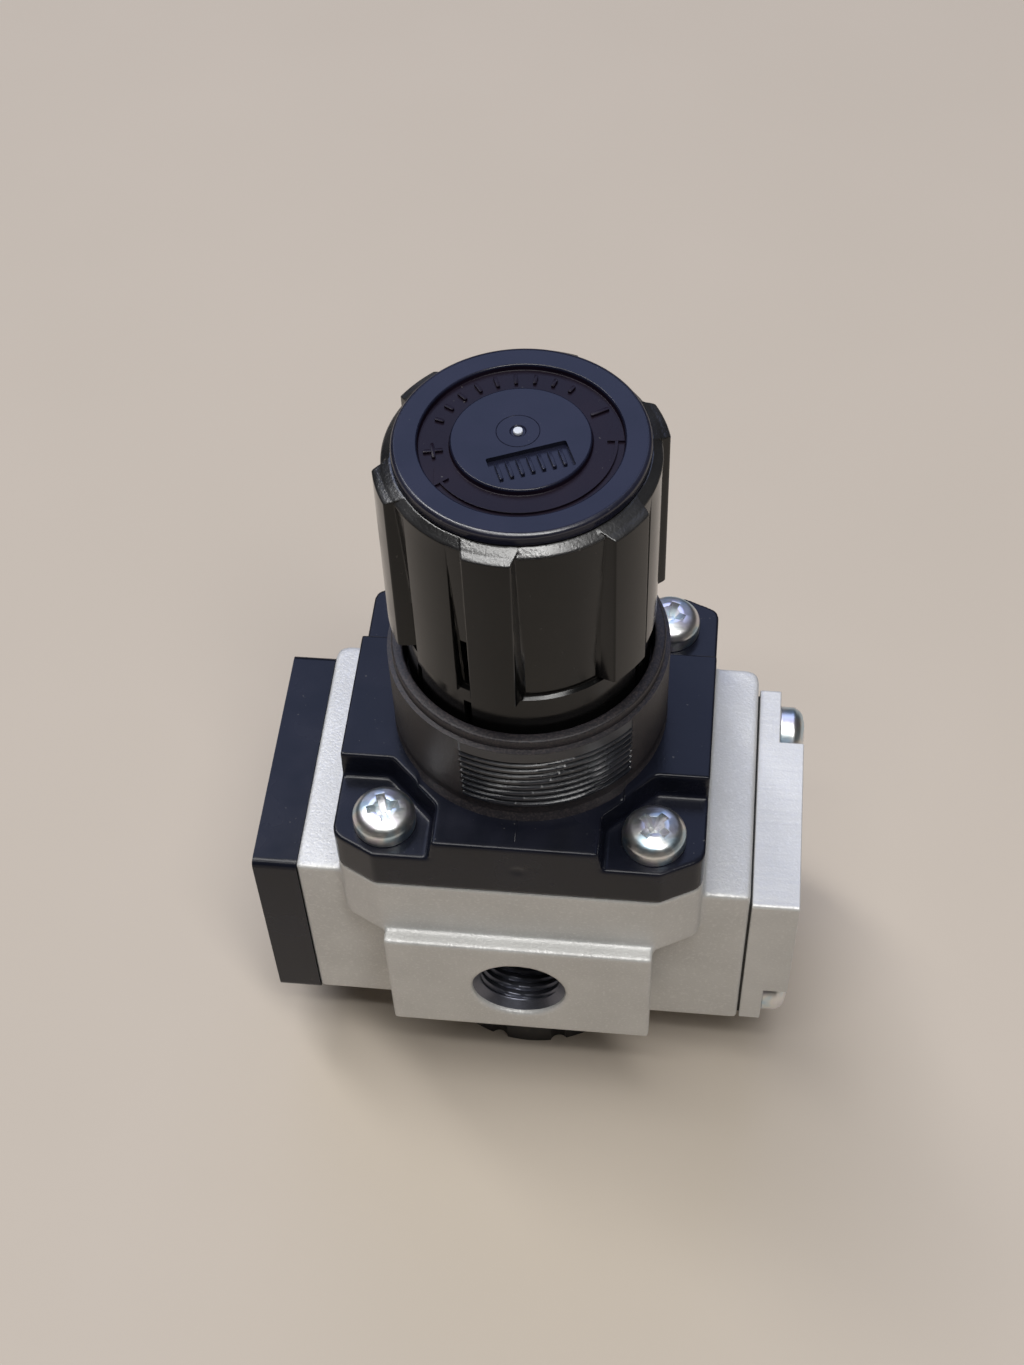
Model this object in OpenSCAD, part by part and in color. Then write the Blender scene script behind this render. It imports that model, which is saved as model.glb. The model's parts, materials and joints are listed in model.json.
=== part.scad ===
// Modular air pressure regulator with a push-to-lock knob.
// Origin: centre of the flat foot of the valve guide, on the knob's axis.
// +Z runs up the knob's axis, the air flows along Y, the side covers face -X and +X.

/* [Body] */
// Distance between the two port faces
port_to_port = 53; // [52:0.5:56]
// Height of the port axis above the foot
port_z = 31; // [30.5:0.1:31.5]
// Radius of the tapped wall of a 1/4 inch port
port_r = 5.72; // [5.5:0.01:5.8]
// Half the width of the flanged core, up to the side covers
flange_x = 32; // [31:0.5:33]
// Distance from the knob's axis to the front of the flanged core
core_y = 19.1; // [18.5:0.1:19.5]
// Height of the face where body and bonnet meet
parting_z = 53.7; // [53:0.1:55]

/* [Bonnet] */
// Width of the head block and the bonnet along X
head_w = 50.6; // [50:0.1:51]
// Distance from the knob's axis to the bonnet's front face
head_front = 23.95; // [23.6:0.05:24.2]
// Distance from the knob's axis to the bonnet's back face
head_back = 24.4; // [24.2:0.05:24.8]
// Height of the bonnet's main plate
plate_z = 65; // [64.8:0.1:65.5]
// Crest radius of the panel nut thread
thread_r = 19; // [18.9:0.05:19.1]
// Pitch of the panel nut thread
thread_pitch = 1.25; // [1.2:0.05:1.3]
// Height of the neck's rim
neck_z = 81; // [80.5:0.1:81.5]

/* [Knob] */
// Height of the cap's top face, the overall height
knob_z = 117.1; // [116.5:0.1:118]
// Number of grip lugs
lugs = 6; // [6:1:6]
// Direction that the cap's pocket faces, in degrees from +X
knob_turn = -68; // [-90:1:-45]
// How far the knob is pushed down to lock it
lock_travel = 2.5; // [2:0.1:2.5]

/* [Side covers] */
// Thickness of the plastic cover on the -X side
cover_t = 6.4; // [6:0.1:7]
// Thickness of the metal adapter plate on the +X side
adapter_t = 6.4; // [6:0.1:7]
// Thickness of the gasket behind the adapter plate
gasket_t = 0.6; // [0.5:0.1:0.8]

/* [Hidden] */
$fn = 96;
// Overlap that keeps a cut clear of the face it opens
cut = 1;
// Radial clearance of a running fit
run = 0.06;

// Body casting
core_z0 = 14.6;
core_z1 = 48.8;
foot_z0 = 9;
foot_r = 19;
core_back_y = 21.2;
core_corner_r = 2;
block_z0 = 41.1;
boss_w = 38;
boss_z0 = 19.9;
boss_z1 = 42.3;
boss_t = 3;
boss_neck_w = 34;
port_depth = 12.5;
port_mouth_r = 6.87;
port_mouth_h = 1.1;
lower_r = 12;
lower_z1 = 29.5;
web_z1 = 31.5;
seat_r = 5;
upper_r = 9;
upper_z1 = 45;
dish_r = 20.5;
rim_z = 51.2;
rim_r = 22.4;
passage_r = 3;
inlet_passage_z = 26.4;
outlet_passage_z = 35;
gauge_passage_z = 33;
gauge_passage_r = 1.4;
gauge_r = 4.28;

// Side covers
cover_z0 = 13.8;
adapter_z0 = 14.4;
adapter_z1 = 46.5;
adapter_w = 38.4;
adapter_y = 0.35;

// Bonnet
pocket_z = 60.8;
pad_z = 64.5;
pad_half_w = 11;
pocket_edge_y = 10.9;
pocket_in_x = 18.5;
pocket_in_y = 18.2;
corner_x = 19.4;
corner_y = 20.9;
back_corner_x = 20.3;
back_corner_y = 22.3;
collar_r = 18.6;
rim_outer_r = 18.25;
root_r = 18.3;
smooth_r = 18.88;
thread_z0 = 67.3;
thread_turns = 8;
band_z0 = 77.5;
band_z1 = 79.3;
neck_bore_r = 16.8;
groove_z0 = 74;
tower_r = 14;
tower_z1 = 87.5;
tower_web = 2.7;
chamber_r = 12.4;
bell_r = 15.5;
bell_z1 = 58;
guide_slot_r = 13.3;
guide_slot_w = 6.4;
lock_teeth = 24;
lock_tooth_w = 1.2;
lock_z0 = 80;
lock_h = 2.5;
lock_r = 14.8;
teeth_z0 = lock_z0 + lock_travel + 0.5;

// Screws
screw_x = 18.3;
screw_y = 18.35;
screw_r = 2.5;
screw_hole_r = 2.55;
screw_clear_r = 2.7;
head_r = 4.3;
head_h = 3.7;
bonnet_screw_l = 13;
bonnet_screw_depth = 8;
side_screw_l = 9;
side_y = 14.4;
side_z_high = 42.2;
side_z_low = 18.6;
notch_half = 4.5;
head_seat = 2.9;
cover_seat = 2.6;

// Valve group
guide_r = 18;
guide_flange_z = 9;
guide_top_z = 21;
stem_r = 3;
stem_ring_z = 13.9;
guide_bore_z = 11;
spring_pocket_r = 6.4;
spring_pocket_z = 15.8;
valve_spring_r = 4.9;
valve_wire_r = 0.45;
guide_ring_z = 12.2;
poppet_foot_z = 12.6;
poppet_z0 = 23.6;
poppet_z1 = 27.6;
poppet_r = 6.6;
seal_r_in = 3.6;
seal_r_out = 6.9;
seal_z1 = 29.45;
pin_r = 1.6;
relief_z0 = 46.6;
relief_bore_r = 0.9;
diaphragm_z0 = 51.6;
diaphragm_z1 = 53.4;
plate_seat_z = 55.4;
plate_boss_z = 56.6;
relief_top_z = 58.6;
neck_fit_r = 4.6;

// Adjusting group
main_spring_r = 10.4;
main_wire_r = 1.35;
nut_z0 = 79;
nut_z1 = 81.9;
nut_sleeve_r = 6.6;
nut_sleeve_l = 4.5;
screw_foot_z = 65;
collar_z0 = 82;
collar_z1 = 84.1;
collar_disc_r = 8;
clip_groove_r = 3.2;
clip_r = 6;
washer_t = 0.6;
web_z0 = tower_z1 - tower_web;
thread_core_r = 3.5;
journal_r = 4;
hex_r = 4;
hex_gap = 0.1;
hex_z1 = 107;

// Knob
skirt_r = 16.2;
skirt_z0 = 77.3;
ledge_z = 87.1;
lug_z0 = 88;
lug_z1 = 114.5;
lug_foot_r = 14;
lug_foot_half = 4.7;
lug_top_half = 2.2;
lug_r_low = 18.15;
lug_r_high = 18;
panel_r_low = 15.6;
panel_r_high = 16.9;
panel_z1 = 114.6;
shoulder_r = 15.65;
cap_z0 = 115.4;
cap_r = 15.6;
cap_edge = 0.8;
knob_bore_r = 15.2;
knob_inner_r = 14.4;
deck_z0 = 108;
deck_z1 = 111;
recess_r = 12.1;
hub_r = 7.5;
hub_z0 = 91.5;
rib_z0 = 97;
rib_t = 1.4;
finger_half = 12;
slot_offset = 15.5;
slot_w = 0.8;

// Rectangle centred on the origin with round corners
module round_rect(w, h, r) {
    square([w - 2 * r, h], center = true);
    square([w, h - 2 * r], center = true);
    for (sx = [-1, 1], sy = [-1, 1])
        translate([sx * (w / 2 - r), sy * (h / 2 - r)]) circle(r = r);
}

// Cylinder along +Z between two heights
module drum(r, z0, z1) {
    translate([0, 0, z0]) cylinder(r = r, h = z1 - z0);
}

// Ring between two radii and two heights
module ring(r_in, r_out, z0, z1) {
    difference() {
        drum(r_out, z0, z1);
        drum(r_in, z0 - cut, z1 + cut);
    }
}

// Round cord bent into a ring that lies flat at height z
module o_ring(r, section, z) {
    translate([0, 0, z]) rotate_extrude() translate([r, 0]) circle(r = section, $fn = 32);
}

// Cylinder along X from x0 to x1, at y and z
module x_drum(r, x0, x1, y, z) {
    translate([x0, y, z]) rotate([0, 90, 0]) cylinder(r = r, h = x1 - x0);
}

// Cylinder along Y from y0 to y1, at height z
module y_drum(r, y0, y1, z) {
    translate([0, y1, z]) rotate([90, 0, 0]) cylinder(r = r, h = y1 - y0);
}

// Places a child at each of the four bonnet screws
module at_screws() {
    for (sx = [-1, 1], sy = [-1, 1]) translate([sx * screw_x, sy * screw_y, 0]) children();
}

// Places a child at the two side screws, which stand on one diagonal
module at_side_screws() {
    translate([0, side_y, side_z_high]) children();
    translate([0, -side_y, side_z_low]) children();
}

// Outline that the head block and the bonnet share, with cut corners
module head_outline() {
    hx = head_w / 2;
    polygon([
        [hx, -corner_y], [hx, back_corner_y], [back_corner_x, head_back], [-back_corner_x, head_back],
        [-hx, back_corner_y], [-hx, -corner_y], [-corner_x, -head_front], [corner_x, -head_front]
    ]);
}

// Outline of the flanged core, whose back corners are round
module core_outline() {
    translate([-flange_x, -core_y]) square([2 * flange_x, core_y + core_back_y - core_corner_r]);
    translate([0, core_back_y - core_corner_r])
        round_rect(2 * flange_x, 2 * core_corner_r, core_corner_r - 0.01);
}

// Pan head screw with a cross recess, its head's seat at z = 0 and its shank pointing down
module pan_screw(length) {
    wall_h = 2.2;
    recess_l = 4.8;
    recess_w = 1.1;
    recess_depth = 1.8;
    difference() {
        union() {
            translate([0, 0, -length]) cylinder(r = screw_r, h = length + 0.2, $fn = 48);
            rotate_extrude($fn = 48) polygon([
                [0, 0], [head_r, 0], [head_r, wall_h], [head_r * 0.93, wall_h + 0.6],
                [head_r * 0.8, head_h - 0.4], [head_r * 0.55, head_h - 0.05], [0, head_h]
            ]);
        }
        for (a = [0, 90]) rotate([0, 0, a])
            translate([-recess_l / 2, -recess_w / 2, head_h - recess_depth]) cube([recess_l, recess_w, 2]);
    }
}

// Coil of round wire between two heights, its end turns lying closer together
module coil(mean_r, wire_r, z0, z1, turns) {
    sides = 8;
    per_turn = 20;
    steps = per_turn * turns;
    low = z0 + wire_r;
    high = z1 - wire_r;
    function rise(t) = t - sin(360 * t) / 12;
    function ring_points(i) = [
        for (k = [0:sides - 1])
            let (t = i / steps, a = 360 * i / per_turn, b = 360 * k / sides,
                r = mean_r + wire_r * cos(b))
            [r * cos(a), r * sin(a), low + (high - low) * rise(t) + wire_r * sin(b)]
    ];
    points = [for (i = [0:steps]) each ring_points(i)];
    walls = [
        for (i = [0:steps - 1], k = [0:sides - 1])
            let (n = (k + 1) % sides)
            [i * sides + k, (i + 1) * sides + k, (i + 1) * sides + n, i * sides + n]
    ];
    first = [for (k = [0:sides - 1]) k];
    last = [for (k = [sides - 1:-1:0]) steps * sides + k];
    polyhedron(points, concat(walls, [first, last]), convexity = turns);
}

// Air ways inside the body: ports, valve chambers, diaphragm dish and gauge passages
module air_ways() {
    face = port_to_port / 2;
    for (s = [-1, 1]) mirror([0, s > 0 ? 1 : 0, 0]) {
        y_drum(port_r, -face - cut, -face + port_depth, port_z);
        translate([0, -face + port_mouth_h, port_z]) rotate([90, 0, 0])
            cylinder(r1 = port_r, r2 = port_mouth_r, h = port_mouth_h);
        translate([0, -face, port_z]) rotate([90, 0, 0]) cylinder(r = port_mouth_r, h = cut);
    }
    y_drum(passage_r, -face + port_depth - cut, -lower_r + 2, inlet_passage_z);
    y_drum(passage_r, upper_r - 2, face - port_depth + cut, outlet_passage_z);
    for (s = [-1, 1]) x_drum(gauge_passage_r, s > 0 ? upper_r - 2 : -flange_x - cut,
        s > 0 ? flange_x + cut : -upper_r + 2, 0, gauge_passage_z);
    drum(lower_r, foot_z0 - cut, lower_z1);
    drum(seat_r, lower_z1 - cut, web_z1 + cut);
    drum(upper_r, web_z1, upper_z1 + cut);
    translate([0, 0, upper_z1]) cylinder(r1 = upper_r, r2 = dish_r, h = 3);
    drum(dish_r, upper_z1 + 3, rim_z + cut);
    drum(rim_r, rim_z, parting_z + cut);
}

module body() color("silver") difference() {
    union() {
        translate([0, 0, block_z0]) linear_extrude(parting_z - block_z0) head_outline();
        translate([0, 0, core_z0]) linear_extrude(core_z1 - core_z0) core_outline();
        drum(foot_r, foot_z0, core_z0 + cut);
        for (s = [-1, 1]) mirror([0, s > 0 ? 1 : 0, 0]) {
            translate([-boss_w / 2, -port_to_port / 2, boss_z0]) cube([boss_w, boss_t, boss_z1 - boss_z0]);
            translate([-boss_neck_w / 2, boss_t - port_to_port / 2 - 0.1, boss_z0 + 1.5])
                cube([boss_neck_w, port_to_port / 2 - boss_t, boss_z1 - boss_z0 - 3]);
        }
    }
    air_ways();
    at_screws() drum(screw_hole_r, parting_z - bonnet_screw_depth, parting_z + cut);
    at_side_screws() x_drum(screw_hole_r, flange_x - side_screw_l, flange_x + cut, 0, 0);
    at_side_screws() x_drum(screw_hole_r, -flange_x - cut, -flange_x + side_screw_l, 0, 0);
}

// Crests of the panel nut thread, as rings with flat tops
module thread_crests() {
    crest = 0.3;
    flank = 0.35;
    for (i = [0:thread_turns - 1]) translate([0, 0, thread_z0 + i * thread_pitch])
        rotate_extrude() polygon([
            [root_r - 1, 0], [root_r, 0], [thread_r, flank], [thread_r, flank + crest],
            [root_r, 2 * flank + crest], [root_r - 1, 2 * flank + crest]
        ]);
    ring(root_r - 1, thread_r, band_z0, band_z1);
}

// Two smooth sectors where the mould halves interrupt the thread
module smooth_sectors() {
    intersection() {
        ring(root_r - 1, smooth_r, thread_z0, band_z1);
        for (s = [-1, 1]) translate([s * 24 - 10, -12, thread_z0 - cut]) cube([20, 24, 20]);
    }
}

// Pocket that sinks one screw head, with a slanting inner corner
module screw_pocket() {
    outer = 40;
    translate([0, 0, pocket_z]) linear_extrude(10) polygon([
        [pad_half_w, outer], [pad_half_w, pocket_in_y], [pocket_in_x, pocket_edge_y],
        [outer, pocket_edge_y], [outer, outer]
    ]);
}

module bonnet() color("#22232c") difference() {
    union() {
        difference() {
            translate([0, 0, parting_z]) linear_extrude(plate_z - parting_z) head_outline();
            for (sx = [-1, 1], sy = [-1, 1]) mirror([sx > 0 ? 0 : 1, 0, 0]) mirror([0, sy > 0 ? 0 : 1, 0])
                screw_pocket();
            for (y = [-30, pocket_edge_y + 0.1]) translate([-pad_half_w - cut, y, pad_z])
                cube([2 * (pad_half_w + cut), 30 - pocket_edge_y - 0.1, 10]);
        }
        drum(collar_r, pocket_z - 0.5, thread_z0 + 0.5);
        difference() {
            union() {
                drum(rim_outer_r, thread_z0, neck_z);
                thread_crests();
                smooth_sectors();
            }
            drum(neck_bore_r, groove_z0, neck_z + cut);
        }
        drum(tower_r, groove_z0 - cut, tower_z1);
        for (i = [0:lock_teeth - 1]) rotate([0, 0, knob_turn + (i + 0.5) * 360 / lock_teeth])
            translate([tower_r - 0.5, -lock_tooth_w / 2, lock_z0])
                cube([lock_r - tower_r + 0.5, lock_tooth_w, lock_h]);
    }
    drum(bell_r, parting_z - cut, bell_z1);
    translate([0, 0, bell_z1]) cylinder(r1 = bell_r, r2 = chamber_r, h = 3);
    drum(chamber_r, bell_z1, web_z0);
    drum(journal_r + run, web_z0 - cut, tower_z1 + cut);
    intersection() {
        drum(guide_slot_r, 62, web_z0 - 0.5);
        translate([-20, -guide_slot_w / 2, 60]) cube([40, guide_slot_w, 30]);
    }
    at_screws() drum(screw_clear_r, parting_z - cut, pocket_z + cut);
}

module bonnet_screws() color("#c9d2da") at_screws()
    translate([0, 0, pocket_z]) pan_screw(bonnet_screw_l);

module side_cover() color("#1d1e26") difference() {
    translate([-flange_x - cover_t, 0, (cover_z0 + core_z1) / 2]) rotate([90, 0, 90])
        linear_extrude(cover_t) round_rect(2 * core_y, core_z1 - cover_z0, 1);
    at_side_screws() x_drum(screw_clear_r, -flange_x - cover_t - cut, -flange_x + cut, 0, 0);
    at_side_screws() x_drum(head_r + 0.2, -flange_x - cover_t - cut, -flange_x - cover_seat, 0, 0);
    translate([-flange_x, 0, gauge_passage_z]) rotate([0, -90, 0]) ring(3.6, 6, -cut, 1.5);
}

module side_cover_screws() color("#c9d2da") at_side_screws()
    translate([-flange_x - cover_seat, 0, 0]) rotate([0, -90, 0]) pan_screw(side_screw_l + 1);

module cover_o_ring() color("#1a1a1a") translate([-flange_x - 0.75, 0, gauge_passage_z]) rotate([0, 90, 0])
    rotate_extrude() translate([4.8, 0]) circle(r = 0.74, $fn = 32);

// Outline of the adapter plate in the YZ plane, or of its gasket, which lies a little inside it
module adapter_outline(inset = 0) {
    translate([adapter_y, (adapter_z0 + adapter_z1) / 2])
        round_rect(adapter_w - 2 * inset, adapter_z1 - adapter_z0 - 2 * inset, 1);
}

module adapter_plate() color("silver") difference() {
    translate([flange_x + gasket_t, 0, 0]) rotate([90, 0, 90]) linear_extrude(adapter_t) adapter_outline();
    x_drum(gauge_r, flange_x, flange_x + 10, 0, port_z);
    at_side_screws() x_drum(screw_clear_r, flange_x, flange_x + 10, 0, 0);
    notch = 12;
    notch_x = flange_x + gasket_t + head_seat;
    translate([notch_x, side_y - notch_half, side_z_high - notch_half]) cube(notch);
    translate([notch_x, notch_half - side_y - notch, side_z_low + notch_half - notch]) cube(notch);
}

module adapter_gasket() color("#202020") difference() {
    translate([flange_x, 0, 0]) rotate([90, 0, 90]) linear_extrude(gasket_t) adapter_outline(0.5);
    x_drum(gauge_r + 0.9, flange_x - cut, flange_x + 3, 0, port_z);
    at_side_screws() x_drum(screw_clear_r, flange_x - cut, flange_x + 3, 0, 0);
}

module adapter_screws() color("#c9d2da") at_side_screws()
    translate([flange_x + gasket_t + head_seat, 0, 0]) rotate([0, 90, 0]) pan_screw(side_screw_l + 2.5);

module valve_guide() color("#202127") difference() {
    scallops = 12;
    scallop_r = 1.4;
    foot_groove_in = 10;
    foot_groove_out = 14.5;
    foot_groove_h = 1.2;
    ring_groove_r = 10.3;
    ring_groove_half = 0.8;
    union() {
        drum(guide_r, 0, guide_flange_z);
        drum(lower_r - run, guide_flange_z - cut, guide_top_z);
    }
    for (i = [0:scallops - 1]) rotate([0, 0, (i + 0.5) * 360 / scallops])
        translate([guide_r + 0.6, 0, -cut]) cylinder(r = scallop_r, h = 7.5, $fn = 32);
    ring(foot_groove_in, foot_groove_out, -cut, foot_groove_h);
    drum(stem_r + run, guide_bore_z, guide_top_z + cut);
    drum(spring_pocket_r, spring_pocket_z, guide_top_z + cut);
    ring(ring_groove_r, lower_r + cut, guide_ring_z - ring_groove_half, guide_ring_z + ring_groove_half);
}

module guide_o_ring() color("#151515") o_ring(lower_r - 0.8, 0.78, guide_ring_z);

module valve_spring() color("#b8bcc0")
    coil(valve_spring_r, valve_wire_r, spring_pocket_z + 0.05, poppet_z0 - 0.05, 5);

module valve_poppet() color("#c8a24a") difference() {
    groove_depth = 0.9;
    groove_half = 0.6;
    union() {
        drum(stem_r, poppet_foot_z, poppet_z0 + 1);
        drum(poppet_r, poppet_z0, poppet_z1);
        drum(seal_r_in, poppet_z1 - 1, seal_z1 - 0.3);
    }
    ring(stem_r - groove_depth, stem_r + cut, stem_ring_z - groove_half, stem_ring_z + groove_half);
    drum(pin_r, poppet_z0 + 1.5, seal_z1 + cut);
}

module poppet_seal() color("#17181a") ring(seal_r_in, seal_r_out, poppet_z1, seal_z1);

module valve_stem() color("#d0d3d6") {
    tip_r = 0.7;
    tip_h = 0.9;
    drum(pin_r, poppet_z0 + 1.5, relief_z0 + 0.5);
    translate([0, 0, relief_z0 + 0.5]) cylinder(r1 = pin_r, r2 = tip_r, h = tip_h, $fn = 32);
}

module stem_o_ring() color("#151515") o_ring(stem_r - 0.44, 0.46, stem_ring_z);

module diaphragm() color("#2a2623") rotate_extrude() polygon([
    [4.6, 51.6], [11.4, 51.6], [12.4, 51.2], [13.2, 49.8], [15, 49], [17, 49.6], [18.4, 51.2],
    [22.3, 51.2], [22.3, 53.7], [18.4, 53.7], [17.4, 52.6], [16.2, 51.2], [15, 50.8], [14, 51.2],
    [13, 52.8], [11.8, 53.4], [4.6, 53.4]
]);

// Brass seat that the stem's tip closes, with a flange under the diaphragm
module relief_seat() color("#c8a24a") difference() {
    flange_r = 10.5;
    flange_h = 1.4;
    nose_r = 3.4;
    mouth_r = 1.4;
    mouth_h = 0.6;
    union() {
        drum(flange_r, diaphragm_z0 - flange_h, diaphragm_z0);
        drum(nose_r, relief_z0 + 1.5, diaphragm_z0 - flange_h + 0.1);
        drum(neck_fit_r - 0.05, diaphragm_z0 - 0.1, relief_top_z);
    }
    drum(relief_bore_r, relief_z0, relief_top_z + cut);
    translate([0, 0, relief_z0 + 1.4]) cylinder(r1 = mouth_r, r2 = relief_bore_r, h = mouth_h, $fn = 32);
}

module diaphragm_plate() color("#9aa0a6") difference() {
    plate_r = 12;
    boss_r = 7.6;
    union() {
        drum(plate_r, diaphragm_z1, plate_seat_z);
        drum(boss_r, plate_seat_z - 0.1, plate_boss_z);
    }
    drum(neck_fit_r, diaphragm_z1 - cut, plate_boss_z + cut);
}

module diaphragm_nut() color("#c8a24a") difference() {
    nut_r = 7;
    nut_h = 2;
    translate([0, 0, plate_boss_z + 0.05]) cylinder(r = nut_r, h = nut_h, $fn = 6);
    drum(neck_fit_r, plate_boss_z - cut, relief_top_z + cut);
}

module adjusting_spring() color("#8f959b")
    coil(main_spring_r, main_wire_r, plate_seat_z + 0.02, nut_z0 - 0.02, 5);

module spring_seat_nut() color("#c9b05a") difference() {
    union() {
        drum(chamber_r - 0.25, nut_z0, nut_z1);
        drum(nut_sleeve_r, nut_z0 - nut_sleeve_l, nut_z0 + 0.5);
        intersection() {
            drum(guide_slot_r - 0.15, nut_z0, nut_z1);
            translate([-20, -guide_slot_w / 2 + 0.2, nut_z0]) cube([40, guide_slot_w - 0.4, 5]);
        }
    }
    drum(thread_core_r + run, nut_z0 - nut_sleeve_l - cut, nut_z1 + cut);
}

module adjusting_screw() color("#b9bec4") difference() {
    union() {
        drum(thread_core_r, screw_foot_z, collar_z0 + 0.5);
        drum(collar_disc_r, collar_z0, collar_z1);
        drum(journal_r, collar_z1 - 0.5, tower_z1 + 0.1);
        translate([0, 0, tower_z1]) cylinder(r = hex_r, h = hex_z1 - tower_z1, $fn = 6);
    }
    ring(clip_groove_r, hex_r + cut, tower_z1 + 0.12, tower_z1 + 0.92);
}

module thrust_washer() color("#d8d2c0")
    ring(journal_r + run, collar_disc_r + 0.2, collar_z1 + 0.02, collar_z1 + 0.02 + washer_t);

module retaining_ring() color("#5a5f66") difference() {
    opening = 3.2;
    ring(clip_groove_r + 0.02, clip_r, tower_z1 + 0.16, tower_z1 + 0.88);
    translate([0, -opening / 2, tower_z1 - cut]) cube([clip_r + cut, opening, 4]);
}

// Sector from the axis to radius r, centred on +X
module sector(half_angle, r, z0, z1) {
    w = 2 * r * tan(half_angle);
    translate([0, 0, z0]) linear_extrude(z1 - z0) polygon([[0, 0], [2 * r, -w], [2 * r, w]]);
}

// Outside of the knob: skirt, hollowed panels, fingers between every other pair of lugs, and lugs
module knob_outside() {
    drum(skirt_r, skirt_z0, ledge_z);
    translate([0, 0, ledge_z]) cylinder(r1 = panel_r_low, r2 = panel_r_high, h = panel_z1 - ledge_z);
    translate([0, 0, panel_z1]) cylinder(r1 = panel_r_high, r2 = shoulder_r, h = cap_z0 - panel_z1);
    intersection() {
        rotate_extrude() polygon([
            [10, lug_z0], [lug_r_low, lug_z0], [lug_r_high, lug_z1], [shoulder_r, cap_z0], [10, cap_z0]
        ]);
        for (i = [0:lugs - 1]) rotate([0, 0, knob_turn + (i + 0.5) * 360 / lugs])
            translate([0, 0, lug_z0 - cut]) linear_extrude(30) polygon([
                [lug_foot_r, -lug_foot_half], [lug_r_low + 1, -lug_top_half],
                [lug_r_low + 1, lug_top_half], [lug_foot_r, lug_foot_half]
            ]);
    }
    for (i = [0:lugs / 2 - 1]) rotate([0, 0, knob_turn + 60 + i * 120]) intersection() {
        drum(panel_r_high - 0.05, ledge_z - 0.3, lug_z1);
        sector(finger_half, panel_r_high, ledge_z - cut, lug_z1 + cut);
    }
}

module knob() color("#26221f") difference() {
    union() {
        difference() {
            knob_outside();
            drum(knob_bore_r, skirt_z0 - cut, teeth_z0 - 0.1);
            drum(lock_r + 0.25, teeth_z0 - cut, teeth_z0 + lock_h + 0.5);
            drum(knob_inner_r, lock_z0, deck_z0);
            drum(recess_r, deck_z1, cap_z0 + cut);
        }
        drum(hub_r, hub_z0, deck_z0 + 0.5);
        for (i = [0:lugs - 1]) rotate([0, 0, knob_turn + i * 360 / lugs])
            translate([hub_r - 0.5, -rib_t / 2, rib_z0])
                cube([knob_inner_r - hub_r + 1, rib_t, deck_z0 + 0.5 - rib_z0]);
        for (i = [0:lock_teeth - 1]) rotate([0, 0, knob_turn + i * 360 / lock_teeth])
            translate([tower_r + 0.25, -lock_tooth_w / 2, teeth_z0]) cube([1.2, lock_tooth_w, lock_h]);
    }
    translate([0, 0, hub_z0 - cut]) cylinder(r = hex_r + hex_gap, h = 30, $fn = 6);
    for (i = [0:lugs / 2 - 1], s = [-1, 1]) rotate([0, 0, knob_turn + 60 + i * 120 + s * slot_offset]) {
        translate([knob_inner_r - 1, -slot_w / 2, ledge_z + 0.6]) cube([6, slot_w, 9]);
        translate([knob_inner_r - 1, -slot_w / 2, skirt_z0 - cut]) cube([6, slot_w, 6]);
    }
}

// Raised plus, minus, arc and arrowheads on the cap's recessed ring
module cap_marks(z, h) {
    mark_r = 10.5;
    mark_l = 2.4;
    bar = 0.5;
    sign_angle = 99.8;
    arc_r = 11.1;
    span = 72;
    tick_step = 14;
    translate([0, 0, z]) {
        for (a = [-sign_angle, sign_angle]) rotate([0, 0, a]) translate([mark_r, 0, h / 2])
            cube([mark_l, bar, h], center = true);
        rotate([0, 0, -sign_angle]) translate([mark_r, 0, h / 2]) cube([bar, mark_l, h], center = true);
        intersection() {
            ring(arc_r, arc_r + bar, 0, h);
            linear_extrude(h) polygon([
                [0, 0], for (a = [-span:span / 4:span]) [16 * cos(a), 16 * sin(a)]
            ]);
        }
        for (s = [-1, 1]) rotate([0, 0, s * span]) translate([arc_r, 0, 0]) linear_extrude(h)
            polygon([[-1, 0], [1.2, 0], [-0.5, s * 2.5]]);
        for (i = [-3:3]) rotate([0, 0, 180 + i * tick_step]) translate([mark_r, 0, h / 2])
            cube([mark_l / 2, bar, h], center = true);
    }
}

module knob_cap() color("#2a2b3d") rotate([0, 0, knob_turn]) {
    recess = 0.8;
    ring_in = 8.45;
    ring_out = 12.4;
    pocket_x = 2;
    pocket_w = 4.2;
    pocket_l = 9.9;
    rib_w = 0.5;
    rib_step = 1.3;
    pip_x = -1.2;
    difference() {
        union() {
            rotate_extrude() polygon([
                [0, cap_z0], [cap_r, cap_z0], [cap_r, knob_z - cap_edge],
                [cap_r - 0.3 * cap_edge, knob_z - 0.3 * cap_edge], [cap_r - cap_edge, knob_z], [0, knob_z]
            ]);
            ring(recess_r - 1.2, recess_r - 0.05, deck_z1 + 0.2, cap_z0 + 0.1);
        }
        ring(ring_in, ring_out, knob_z - recess, knob_z + cut);
        translate([pocket_x, -pocket_l / 2, knob_z - recess]) cube([pocket_w, pocket_l, 3]);
    }
    for (i = [-3:3]) translate([pocket_x + 0.7, i * rib_step - rib_w / 2, knob_z - recess - 0.1])
        cube([pocket_w - 1.4, rib_w, 0.6]);
    translate([pip_x, 0, knob_z - 0.1]) cylinder(r1 = 0.75, r2 = 0.4, h = 0.4, $fn = 32);
    cap_marks(knob_z - recess - 0.1, 0.5);
}

body();
bonnet();
bonnet_screws();
side_cover();
side_cover_screws();
cover_o_ring();
adapter_plate();
adapter_gasket();
adapter_screws();
valve_guide();
guide_o_ring();
valve_spring();
valve_poppet();
poppet_seal();
valve_stem();
stem_o_ring();
diaphragm();
relief_seat();
diaphragm_plate();
diaphragm_nut();
adjusting_spring();
spring_seat_nut();
adjusting_screw();
thrust_washer();
retaining_ring();
knob();
knob_cap();
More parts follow.
